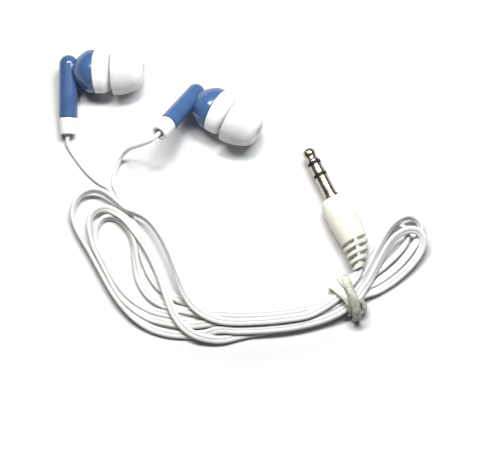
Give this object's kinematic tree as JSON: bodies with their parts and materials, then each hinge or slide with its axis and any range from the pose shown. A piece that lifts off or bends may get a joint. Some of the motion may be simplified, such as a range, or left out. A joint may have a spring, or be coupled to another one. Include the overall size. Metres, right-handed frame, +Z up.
{
  "type": "wired earphones",
  "caption": "Wired in-ear earphones with stemmed two-tone housings, soft ear tips, a jack plug and a twin cord folded into a banded hank.",
  "frame": {"origin": "on the floor that the earphones lie on, under the middle of the box around the two earbuds", "axes": "+X from the left earbud towards the right one, along the longest side of the earbuds' box; +Y away from the plug and the hank of cord; +Z up from the floor"},
  "size_m": [0.0952, 0.0759, 0.0146],
  "materials": {
    "blue_shell": "glossy, pale blue",
    "white_shell": "glossy white",
    "tip_silicone": "milky satin silicone",
    "steel_mesh": "woven mesh",
    "black_plastic": "black, satin",
    "brass_ring": "stamped",
    "foam": "open foam",
    "felt": "felt",
    "steel": "nickel plated",
    "copper": "enamelled copper",
    "film": "clear amber film",
    "board": "green solder mask",
    "red_wire": "enamelled",
    "cord_jacket": "smooth white jacket",
    "contact_metal": "polished, pale gold plating",
    "cream_plastic": "moulded, soft gloss",
    "band_elastic": "pale grey-green, glossy"
  },
  "bodies": {
    "headset": {"left_housing": "blue_shell", "left_front_cover": "white_shell", "left_stem_cap": "white_shell", "left_nozzle_mesh": "steel_mesh", "left_driver_frame": "black_plastic", "left_diaphragm_ring": "brass_ring", "left_front_gasket": "foam", "left_damping_felt": "felt", "left_yoke": "steel", "left_magnet": "steel", "left_top_plate": "steel", "left_terminal_board": "board", "left_signal_wire": "red_wire", "left_ground_wire": "copper", "left_cord_knot": "cord_jacket", "right_housing": "blue_shell", "right_front_cover": "white_shell", "right_stem_cap": "white_shell", "right_nozzle_mesh": "steel_mesh", "right_driver_frame": "black_plastic", "right_diaphragm_ring": "brass_ring", "right_front_gasket": "foam", "right_damping_felt": "felt", "right_yoke": "steel", "right_magnet": "steel", "right_top_plate": "steel", "right_terminal_board": "board", "right_signal_wire": "red_wire", "right_ground_wire": "copper", "right_cord_knot": "cord_jacket", "plug_tip": "contact_metal", "plug_front_insulator": "black_plastic", "plug_ring": "contact_metal", "plug_rear_insulator": "black_plastic", "plug_sleeve": "contact_metal", "plug_core": "cream_plastic", "plug_body": "cream_plastic", "plug_cord_end": "cord_jacket", "left_cord": "cord_jacket", "right_cord": "cord_jacket", "main_cord": "cord_jacket", "cord_hank": "cord_jacket", "hank_band": "band_elastic"},
    "left_tip": {"left_ear_tip": "tip_silicone"},
    "left_cone": {"left_voice_coil": "copper", "left_diaphragm": "film"},
    "right_tip": {"right_ear_tip": "tip_silicone"},
    "right_cone": {"right_voice_coil": "copper", "right_diaphragm": "film"}
  },
  "joints": [
    {"name": "left_tip_pull", "type": "slide", "parent": "headset", "child": "left_tip", "axis": [0.9981, -0.0174, 0.0593], "range_m": [0, 0.006]},
    {"name": "left_cone_travel", "type": "slide", "parent": "headset", "child": "left_cone", "axis": [0.9981, -0.0174, 0.0593], "range_m": [-0.0003, 0.0003], "stiffness_N_per_m": 35},
    {"name": "right_tip_pull", "type": "slide", "parent": "headset", "child": "right_tip", "axis": [0.8557, -0.5141, 0.0593], "range_m": [0, 0.006]},
    {"name": "right_cone_travel", "type": "slide", "parent": "headset", "child": "right_cone", "axis": [0.8557, -0.5141, 0.0593], "range_m": [-0.0003, 0.0003], "stiffness_N_per_m": 35}
  ]
}
